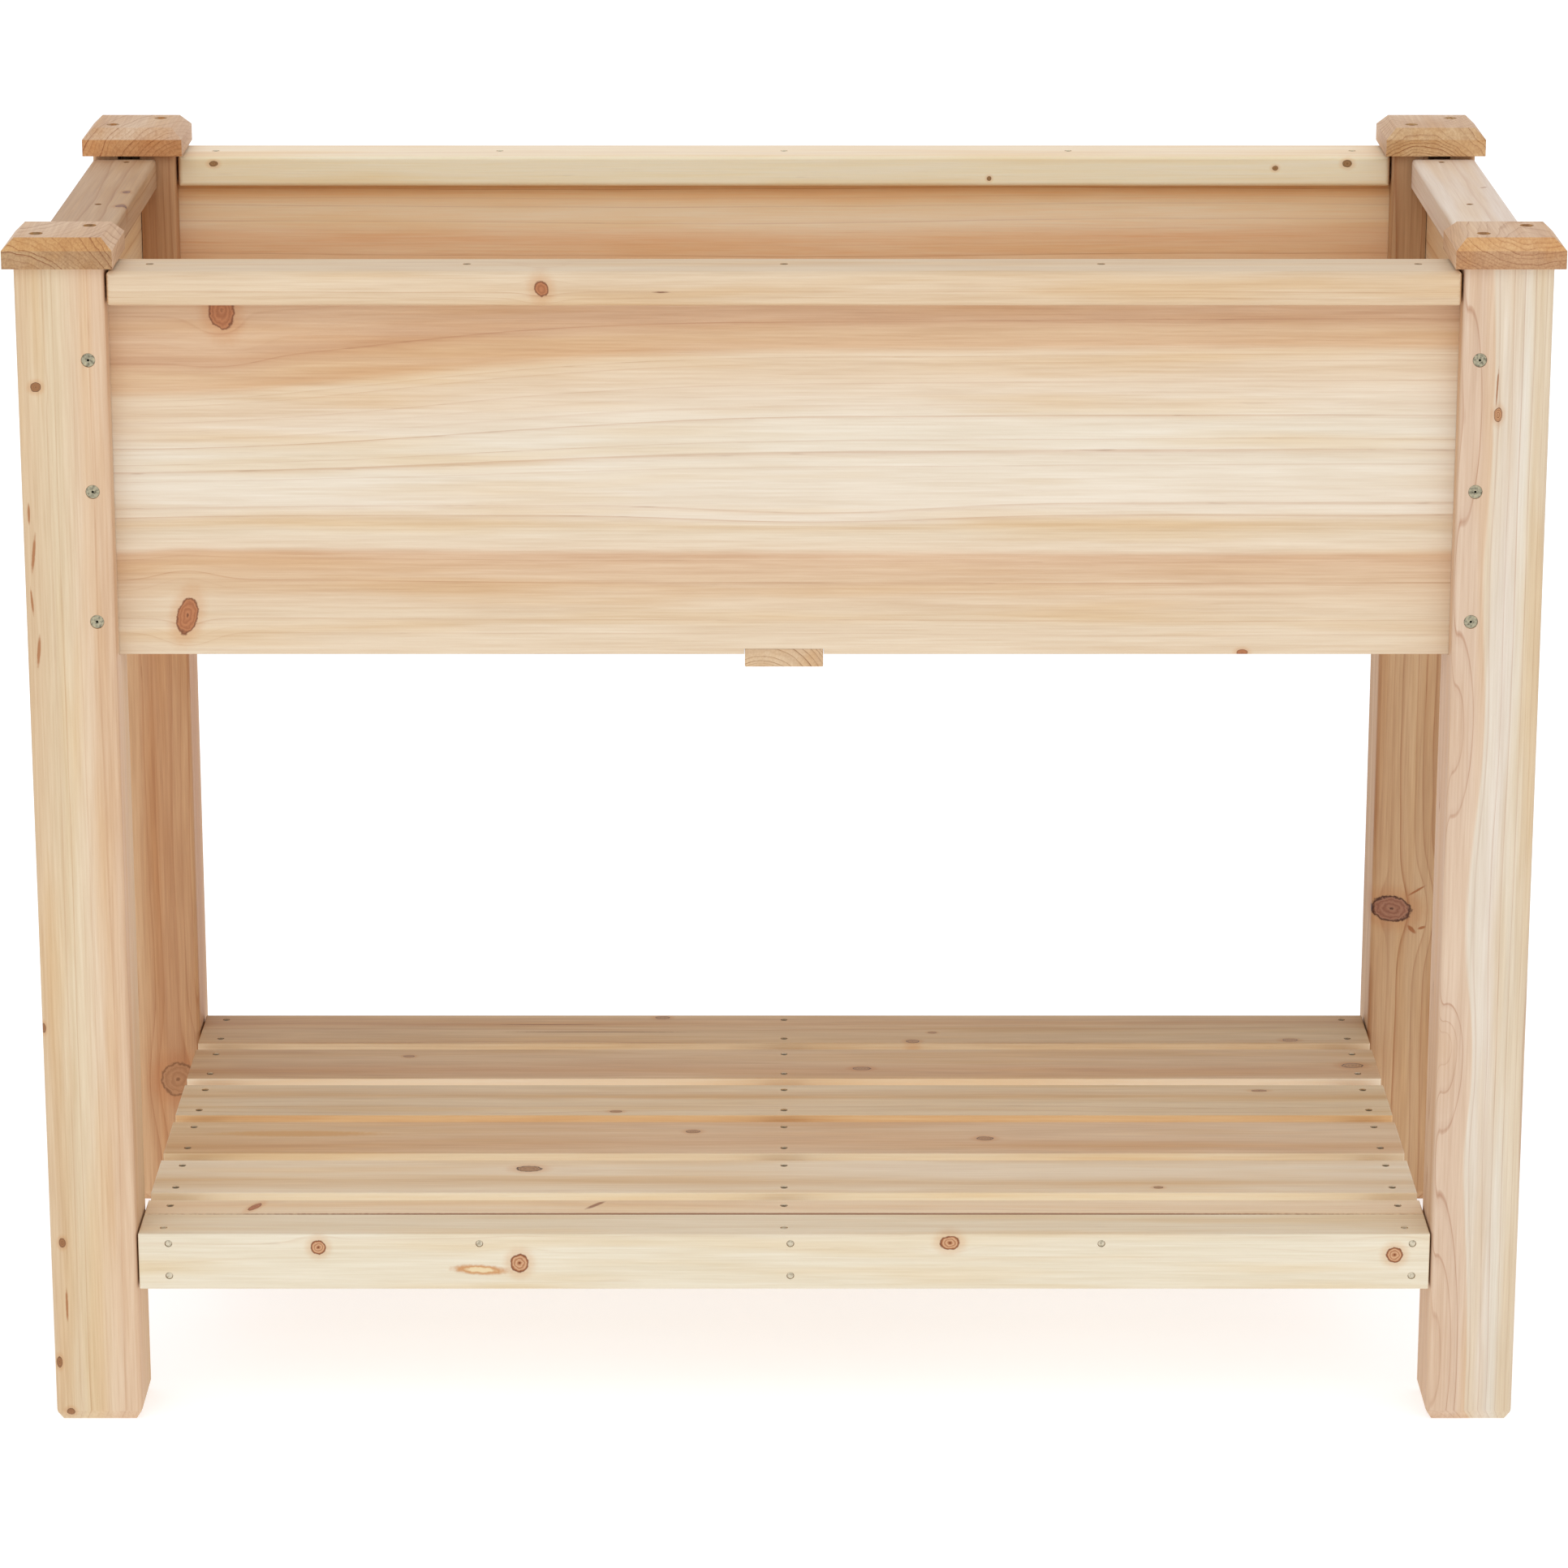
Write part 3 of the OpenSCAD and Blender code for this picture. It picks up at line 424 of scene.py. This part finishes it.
# Top rails, with rounded edges
boards["rail_front"] = {
    "face": "Z", "pith": (20, -90), "ringGap": 4.6, "wobble": (1.2, 420, 30), "seed": 51,
    "bands": [(-30, "#d9be9c"), (0, "#d7bc9a"), (12, "#dac2a3"), (30, "#d9c09f")], "lineDepth": (0.03, 0.4),
    "knots": [(-145, 728, 5, 6, 12)], "knotAt": (-217, 9), "marks": [(-73, 726, 7, 0.8, 0)], "markColour": "#6b3a20",
}
boards["rail_rear"] = {
    "face": "Z", "pith": (-30, 70), "ringGap": 6, "wobble": (2.2, 260, 30), "seed": 54,
    # its narrow front and rear faces are painted pale: painted light against the shade inside the box
    "bands": [(-30, "#f4dfc0"), (0, "#f5e0c2"), (30, "#f6e2c6")], "lineDepth": (0.03, 0.35), "edge": "#fff8da",
    "knots": [(-381, 733, 3, 1.9, 0), (376, 733, 3.2, 2.5, 0), (137, 723, 1.6, 1.6, 0), (328, 730, 2, 1.6, 0)],
    "knotBody": "#b58e62", "knotRing": "#8f6b44", "knotRim": "#755435", "knotAt": (177, 8),
}
boards["rail_left"] = {
    "grain": "Y", "face": "X", "pith": (-20, -60), "ringGap": 4.2, "wobble": (1.6, 260, 30), "seed": 57,
    "bands": [(-30, "#be9b77"), (0, "#bb9879"), (30, "#c0a07c")], "lineDepth": (0.1, 0.6),
    "knots": [(43, -423, 4.4, 2.4, 0), (-5, -421, 4.8, 3, 20)], "knotAt": (738.5, 9),
    "knotBody": "#94613c", "knotRing": "#70452a", "knotRim": "#5a351e",
}
boards["rail_right"] = {
    "grain": "Y", "face": "X", "pith": (25, -60), "ringGap": 4.5, "wobble": (1.6, 260, 30), "seed": 58,
    "bands": [(-30, "#e2c9b1"), (0, "#e2cfbf"), (30, "#e4d2bd")], "lineDepth": (0.05, 0.4),
    "marks": [(60, 452, 3, 1.2, 60)],
}

# Shelf: a stout front rail, a narrow slat behind it and five wide ones
# the slats' narrow edges are painted pale: painted light from the front that falls into the gaps
slatEdgePaintedLight = "#fff0d2"
boards["shelf_front_rail"] = {
    "face": "Z", "pith": (46, -16), "ringGap": 4.4, "wobble": (3.2, 300, 34), "seed": 61,
    "bands": [(-30, "#e1d4b6"), (0, "#e3d6bc"), (30, "#e4d8c0")], "line": "#d0a06a", "lineDepth": (0.05, 0.6),
    "dashes": 0.9,
    "knots": [(-292, 117, 4.6, 4.6, 0), (-166, 106.5, 5.5, 6, 0), (104, 120, 6, 4.5, 0), (383, 112, 5, 5, 0)],
    "knotAt": (-222.5, 9),
    "knotBody": "#a96d44", "knotRing": "#d6aa82", "knotRim": "#7a4426",
    "marks": [(-191, 102, 19, 3.6, -3)], "markColour": "#c4803a", "markCore": "#e8cfa0",
}
boards["shelf_narrow_slat"] = {
    "pith": (8, -50), "ringGap": 4, "seed": 64, "edge": slatEdgePaintedLight,
    "bands": [(-12, "#e4cdab"), (0, "#e8d4b7"), (20, "#e5ceac")],
    # the long streak along the front edge is painted shade of the joint with the front rail
    "knots": [(-336, -175, 7, 2.5, 62)], "marks": [(-120, -172, 10, 2, 50), (0, -187, 430, 1.5, 0)],
    "markColour": "#8f6046",
}
# the wide slats are painted darker from the front slat to the rear one, partly as painted shade of the box above
shelfTones = ["#c8ad8a", "#caaf8e", "#d7c5a8", "#d5c1a6", "#e5d8c2"]
shelfEdgesPaintedLight = ["#e0c8a8", "#fff2d9", "#e7bd89", "#efdcbc", "#f6e8cc"]
shelfPaintedShade = [  # painted shade: the ends are painted darker where the posts shade them
    [(-400, "#f0e9e4"), (-120, "#ffffff"), (80, "#ffffff"), (400, "#f2f4f4")],
    [(-400, "#ece4dc"), (-100, "#ffffff"), (100, "#ffffff"), (400, "#f8f6f4")],
    [(-400, "#f6f2ee"), (-60, "#ffffff"), (400, "#f8f4ee")],
    [(-400, "#f8eedc"), (-60, "#ffffff"), (400, "#fcf8f4")],
    [(-400, "#fffcf6"), (400, "#ffffff")],
]
shelfKnots = [
    [(89, 145.4, 4.4, 3.2, 0), (350, 148, 5, 3, 0), (103, 164, 2.8, 1.8, 0), (-85, 196, 5, 3, 0)],
    [(53, 89, 6, 3.2, 0), (388, 95, 7, 4.6, 0), (-257, 114, 3.6, 2.2, 0)],
    [(-112, 3, 4, 2, 0), (320, 44, 5, 2, 0)],
    [(132, -49, 5.4, 3.6, 0), (-60, -36, 4.6, 3, 0)],
    [(-165, -106, 8, 5, 0), (240, -140, 3, 2, 0)],
]
for number in range(5):
    boards["shelf_slat_%d" % (number + 1)] = {
        "seed": 70 + number * 3, "edge": shelfEdgesPaintedLight[number], "paintedShadeAlong": shelfPaintedShade[number], "ringGap": 4.6,
        "wobble": (2.6, 380, 40), "lineDepth": (0.04, 0.4),
        "pith": [(-14, -50), (22, -60), (-40, -46), (10, -70), (16, -48)][number],
        "bands": [(-12, shelfTones[number]), (4, shelfTones[number]),
                  (9, ["#c29f7a", "#c4a07c", "#cdb08a", "#cfaf8c", "#d8c09e"][number]), (20, shelfTones[number])],
        "knots": shelfKnots[number], "knotBody": "#b48c60", "knotRing": "#8e653e", "knotRim": "#4a2d18",
        "dashes": 0.9,
    }
boards["shelf_slat_1"]["marks"] = [(-130, 165, 75, 0.9, 0), (-165, 181, 40, 0.8, 0)]
boards["shelf_slat_1"]["markColour"] = "#7d5433"
boards["shelf_slat_4"]["marks"] = [(-320, -40, 60, 6, 0)]
boards["shelf_slat_4"]["markColour"] = "#c99e68"

# Battens and the floor inside the box
for number, name in enumerate(["left", "centre", "right"]):
    boards["shelf_batten_" + name] = {
        "grain": "Y", "face": "Z", "seed": 90 + number, "pith": (20, -40), "ringGap": 4,
        "bands": [(-20, "#d8b68c"), (0, "#dcbd96"), (20, "#d6b288")], "end": "#dcc0a0",
    }
    boards["floor_batten_" + name] = {
        "grain": "Y", "face": "X", "seed": 95 + number, "pith": [(20, -30), (-14, -26), (-30, -34)][number],
        "ringGap": 2.9,
        "wobble": (0.7, 120, 20), "bands": [(-20, "#dcc6aa"), (0, "#e0ccb2"), (20, "#dbc3a8")], "line": "#a88058",
        "lineDepth": (0.4, 0.8), "end": "#f0e2d0",
    }
floorKnots = [[(-210, -160, 9, 5, 0)], [(120, -96, 8, 4.5, 0)], [(300, -30, 7, 4, 0), (-330, -20, 5, 3, 0)],
              [(-90, 34, 9, 5, 0)], [(210, 100, 6, 4, 0)], [(-280, 158, 8, 5, 0)]]
for number in range(6):
    boards["floor_slat_%d" % (number + 1)] = {
        "seed": 100 + number * 3, "edge": slatEdgePaintedLight,
        "pith": [(18, -60), (-26, -50), (8, -70), (30, -54), (-12, -48), (20, -64)][number],
        "bands": [(-12, "#dcbb90"), (4, ["#e0c39c", "#d8b48a", "#e2c7a2", "#dbb98f", "#e3c8a4", "#d9b68c"][number]),
                  (20, "#dcbb92")], "knots": floorKnots[number],
    }

for name, wood in boards.items():
    low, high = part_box(name)
    cadNodes[name].data.materials.clear()
    cadNodes[name].data.materials.append(firMaterial(name, wood, low, high))
print("wood:", len(boards), "boards")

# Screws are zinc plated: bright on the flats with a yellowish film. Down in the recess they are painted nearly
# black, as painted shade.
# Nails are plain drawn steel: a dulled pale grey in the shelf's front, and elsewhere painted dark brown as painted
# shade of heads sunk in their holes.
steels = {  # rough: where the clouds are duller and where they are paler; dent: depth of the scuffs in mm
    "zinc plated steel": {
        "colour": "#a29b84", "film": "#c0b594", "dull": "#605a49", "rough": (0.2, 0.42), "dent": 0.12},
    "painted shade in zinc plated recess": {
        "colour": "#1c1b15", "film": "#26241b", "dull": "#12110d", "rough": (0.5, 0.7), "dent": 0.05},
    "dulled bright steel": {
        "colour": "#cfc5ae", "film": "#ddd2bb", "dull": "#9c917a", "rough": (0.34, 0.55), "dent": 0.08},
    # dark brown: painted shade of nail heads sunk in their holes
    "steel darkened as painted shade": {
        "colour": "#75664d", "film": "#87765a", "dull": "#4c4030", "rough": (0.45, 0.7), "dent": 0.08},
}
steelMarks = {"cloud": 2, "scuff": 0.625}   # mm across: clouds in the surface, and scuffs from the driver or hammer
steelMaterials = {}
for name, steel in steels.items():
    material, tree = emptyMaterial(name)
    place = addNode(tree, "TexCoord").node.outputs["Object"]
    local = addNode(tree, "Mapping", {"Vector": place, "Scale": [1 / mm] * 3})
    cloud = addNode(tree, "TexNoise", {"Vector": local, "Scale": 1 / steelMarks["cloud"], "Detail": 3})
    scuff = addNode(tree, "TexNoise", {"Vector": local, "Scale": 1 / steelMarks["scuff"], "Detail": 4})
    colour = addNode(tree, "ValToRGB", {0: cloud}, stops=[
        (noiseLow, steel["dull"]), (0.5, steel["colour"]), (noiseHigh, steel["film"])])
    smooth, coarse = steel["rough"]
    rough = addNode(tree, "MapRange", {0: cloud, 1: noiseLow, 2: noiseHigh, 3: smooth, 4: coarse})
    bump = addNode(tree, "Bump", {"Height": scuff, "Distance": steel["dent"] * mm, "Strength": 1})
    shader = {"Base Color": colour, "Metallic": 1, "Roughness": rough, "Normal": bump}
    addNode(tree, "OutputMaterial", {"Surface": addNode(tree, "BsdfPrincipled", shader)})
    steelMaterials[name] = material

screw = {
    "head": 8.4, "shank": 4.0, "rim": 0.3, "tip": 5, "sides": 32,
    "crown": 0.25,          # how far the top of the head rises to its middle
    "cross": 5.2, "slot": 1.35, "depth": 2.0, "taper": 0.62,
    "shadeDepth": 0.3,           # faces deeper in the recess than this are painted near-black as shade
    "round": 0.16,          # worn edge of the head
    "point": 0.15,          # width of the point, as a share of the shank
}
nail = {
    "head": 4.5, "shank": 2.0, "rim": 0.9, "tip": 3, "sides": 20, "crown": 0.18, "round": 0.3, "point": 0.15,
    "border": 0.22,         # outer part of the crown, as a share of the head
}
driving = {
    "firstTurn": 12, "nextTurn": 37,    # degrees, so that no two neighbours are turned alike
    "endBand": 0.1,         # corners this near to an end, in mm, say how wide that end is
    "headShare": 0.6,       # the end is the head where it reaches further out than this share of the shank
}


def screwHead(size, length):  # countersunk screw with a crossed recess, standing on its point under the origin
    made = bmesh.new()
    bmesh.ops.create_circle(made, cap_ends=True, segments=size["sides"], radius=size["head"] / 2)
    bmesh.ops.inset_region(made, faces=made.faces[:], thickness=(size["head"] - size["cross"]) / 2)
    half, reach = size["slot"] / 2, size["cross"] / 2
    for across in (Vector((1, 0, 0)), Vector((0, 1, 0))):
        for side in (-1, 1):
            everything = made.verts[:] + made.edges[:] + made.faces[:]
            cut = across * side * half
            bmesh.ops.bisect_plane(made, geom=everything, plane_co=cut, plane_no=across, dist=1e-4)
    for vert in made.verts:  # a low dome, highest in the middle
        vert.co.z = size["crown"] * (1 - (vert.co.xy.length * 2 / size["head"]) ** 2)
    recess = []
    for face in made.faces:
        centre = face.calc_center_median()
        if min(abs(centre.x), abs(centre.y)) < half and centre.xy.length < reach:
            recess.append(face)
    sunk = bmesh.ops.extrude_face_region(made, geom=recess)["geom"]
    bmesh.ops.delete(made, geom=[f for f in recess if f.is_valid], context="FACES")
    bottom = [v for v in sunk if isinstance(v, bmesh.types.BMVert)]
    bmesh.ops.translate(made, verts=bottom, vec=(0, 0, -size["depth"]))
    bmesh.ops.scale(made, verts=bottom, vec=(size["taper"], size["taper"], 1))
    # faces deep in the recess take the second material: near-black painted shade
    for face in made.faces:
        face.material_index = 1 if face.calc_center_median().z < -size["shadeDepth"] else 0
    shankDown(made, size, length)
    return made


def nailHead(size, length):  # flat head, a little crowned by the hammer
    made = bmesh.new()
    bmesh.ops.create_circle(made, cap_ends=True, segments=size["sides"], radius=size["head"] / 2)
    bmesh.ops.inset_region(made, faces=made.faces[:], thickness=size["head"] * size["border"])
    bmesh.ops.poke(made, faces=[f for f in made.faces if len(f.verts) > 4])
    for vert in made.verts:
        vert.co.z = size["crown"] * (1 - (vert.co.xy.length * 2 / size["head"]) ** 2)
    shankDown(made, size, length)
    return made


def shankDown(made, size, length):  # rim, cone, shank and point below the open edge of a head
    edges = [e for e in made.edges if e.is_boundary]
    worn = edges[:]
    cone = (size["head"] - size["shank"]) / 2 if "cross" in size else 0     # a nail's head is flat underneath
    shank = length - size["rim"] - cone - size["tip"]
    steps = [(1, size["rim"]), (size["shank"] / size["head"], cone), (1, shank), (size["point"], size["tip"])]
    for factor, drop in steps:
        ring = bmesh.ops.extrude_edge_only(made, edges=edges)["geom"]
        corners = [v for v in ring if isinstance(v, bmesh.types.BMVert)]
        bmesh.ops.scale(made, verts=corners, vec=(factor, factor, 1))
        bmesh.ops.translate(made, verts=corners, vec=(0, 0, -drop))
        edges = [e for e in ring if isinstance(e, bmesh.types.BMEdge)]
    bmesh.ops.holes_fill(made, edges=edges)
    bmesh.ops.bevel(made, geom=worn, offset=size["round"], segments=2, profile=0.5, affect="EDGES", material=-1)
    bmesh.ops.recalc_face_normals(made, faces=made.faces[:])
    made.verts.index_update()
    made.faces.sort(key=faceRank)


def faceRank(face):  # extruding lists its faces in a chance order, so they are put in order by their corners
    corners = sorted(v.index for v in face.verts)
    return (corners[0] * 1000 + corners[1]) * 1000 + corners[-1]


def loosePieces(node):  # the corners of each screw or nail in a node
    merged = bmesh.new()
    merged.from_mesh(cadNodes[node].data)
    bmesh.ops.remove_doubles(merged, verts=merged.verts[:], dist=1e-6)
    seen, found = set(), []
    for vert in merged.verts:
        if vert in seen:
            continue
        seen.add(vert)
        group = [vert]
        for corner in group:    # the group grows while it is walked through
            for edge in corner.link_edges:
                other = edge.other_vert(corner)
                if other not in seen:
                    seen.add(other)
                    group.append(other)
        found.append([corner.co.copy() for corner in group])
    merged.free()
    return found


def driveIn(name, node, make, size, materials):  # a detailed screw or nail at each place of the node's own
    whole = bmesh.new()
    single = bpy.data.meshes.new("single")
    for number, corners in enumerate(loosePieces(node)):
        low = Vector([min(c[i] for c in corners) for i in range(3)])
        high = Vector([max(c[i] for c in corners) for i in range(3)])
        span, middle = high - low, (low + high) / 2
        axis = max(range(3), key=lambda i: span[i])
        upper = [c for c in corners if c[axis] > high[axis] - driving["endBand"] * mm]
        wide = max(abs(c[i] - middle[i]) for c in upper for i in range(3) if i != axis)
        outward = 1 if wide > size["shank"] * mm * driving["headShare"] else -1
        top = middle.copy()
        top[axis] = high[axis] if outward > 0 else low[axis]
        way = Vector([outward if i == axis else 0 for i in range(3)])
        turn = Matrix.Rotation(math.radians(driving["nextTurn"] * number + driving["firstTurn"]), 3, "Z")
        made = make(size, span[axis] / mm)
        bmesh.ops.rotate(made, verts=made.verts[:], cent=(0, 0, 0), matrix=turn)
        bmesh.ops.scale(made, verts=made.verts[:], vec=(mm, mm, mm))
        bmesh.ops.rotate(made, verts=made.verts[:], cent=(0, 0, 0), matrix=way.to_track_quat("Z", "Y").to_matrix())
        bmesh.ops.translate(made, verts=made.verts[:], vec=top - way * (size["crown"] * mm))
        made.to_mesh(single)
        made.free()
        whole.from_mesh(single)
    data = bpy.data.meshes.new(name)
    whole.to_mesh(data)
    whole.free()
    bpy.data.meshes.remove(single)
    for material in materials:
        data.materials.append(steelMaterials[material])
    piece = bpy.data.objects.new(name, data)
    bpy.context.scene.collection.objects.link(piece)
    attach(piece, "root")
    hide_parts(node)
    print(name + ":", len(data.polygons), "faces")


for node in ["panel_screws", "cap_screws", "shelf_screws"]:
    finishes = ["zinc plated steel", "painted shade in zinc plated recess"]
    driveIn(node + "_plated", node, screwHead, screw, finishes)
for node in ["rail_nails", "floor_nails", "floor_batten_nails", "shelf_slat_nails", "shelf_front_nails"]:
    finishes = ["dulled bright steel" if node == "shelf_front_nails" else "steel darkened as painted shade"]
    driveIn(node + "_driven", node, nailHead, nail, finishes)

studio = {
    "sky": ("#fbfcff", 0.86),
    "paper": "#dcdcdc",
    "paperGlow": ("#f6faff", 0.56),     # the paper is lit from behind, so that it stays white under the shelf
    "paperReach": 40,                   # metres from the middle to each side
    "lamps": [  # place, aim, size, watts
        ((-1.2, -3.6, 4.4), (0, 0, 0.5), 3.0, 34),
        ((2.2, -3.6, 3.0), (0, 0, 0.4), 3.0, 12),
        ((0.4, 3.4, 3.4), (0, 0, 0.4), 3.0, 8),
    ],
}
mesh = bmesh.new()
bmesh.ops.create_grid(mesh, x_segments=1, y_segments=1, size=studio["paperReach"])
floorData = bpy.data.meshes.new("studioFloor")
mesh.to_mesh(floorData)
mesh.free()
floor = bpy.data.objects.new("studioFloor", floorData)
bpy.context.scene.collection.objects.link(floor)
material, tree = emptyMaterial("matt white paper")  # plain pale ground, clear when seen from below
paper = addNode(tree, "BsdfDiffuse", {"Color": linear(studio["paper"])})
glowColour, glow = studio["paperGlow"]
glow = addNode(tree, "Emission", {"Color": linear(glowColour), "Strength": glow})
paper = addNode(tree, "AddShader", {0: paper, 1: glow})
behind = addNode(tree, "NewGeometry").node.outputs["Backfacing"]
both = addNode(tree, "MixShader", {0: behind, 1: paper, 2: addNode(tree, "BsdfTransparent")})
addNode(tree, "OutputMaterial", {"Surface": both})
floorData.materials.append(material)

world = bpy.data.worlds.new("studioSky")
bpy.context.scene.world = world
world.use_nodes = True
sky = world.node_tree.nodes["Background"].inputs
sky["Color"].default_value = linear(studio["sky"][0])
sky["Strength"].default_value = studio["sky"][1]
for number, (place, aim, size, watts) in enumerate(studio["lamps"]):
    lampData = bpy.data.lights.new("softbox%d" % (number + 1), "AREA")
    lampData.shape, lampData.size, lampData.energy = "SQUARE", size, watts
    lamp = bpy.data.objects.new(lampData.name, lampData)
    lamp.location = place
    lamp.rotation_euler = (Vector(aim) - Vector(place)).to_track_quat("-Z", "Y").to_euler()
    bpy.context.scene.collection.objects.link(lamp)

view = {"place": (0, -3.4325, 1.366), "pitch": 15.6, "lens": 125.5, "sensor": 36, "shift": -0.05}
cameraData = bpy.data.cameras.new("studioCamera")
cameraData.lens, cameraData.sensor_width, cameraData.shift_y = view["lens"], view["sensor"], view["shift"]
cameraData.dof.use_dof = False
camera = bpy.data.objects.new("studioCamera", cameraData)
camera.location = view["place"]
camera.rotation_euler = (math.radians(90 - view["pitch"]), 0, 0)
bpy.context.scene.collection.objects.link(camera)
bpy.context.scene.camera = camera
bpy.context.scene.view_settings.view_transform = "Standard"
print("studio ready")
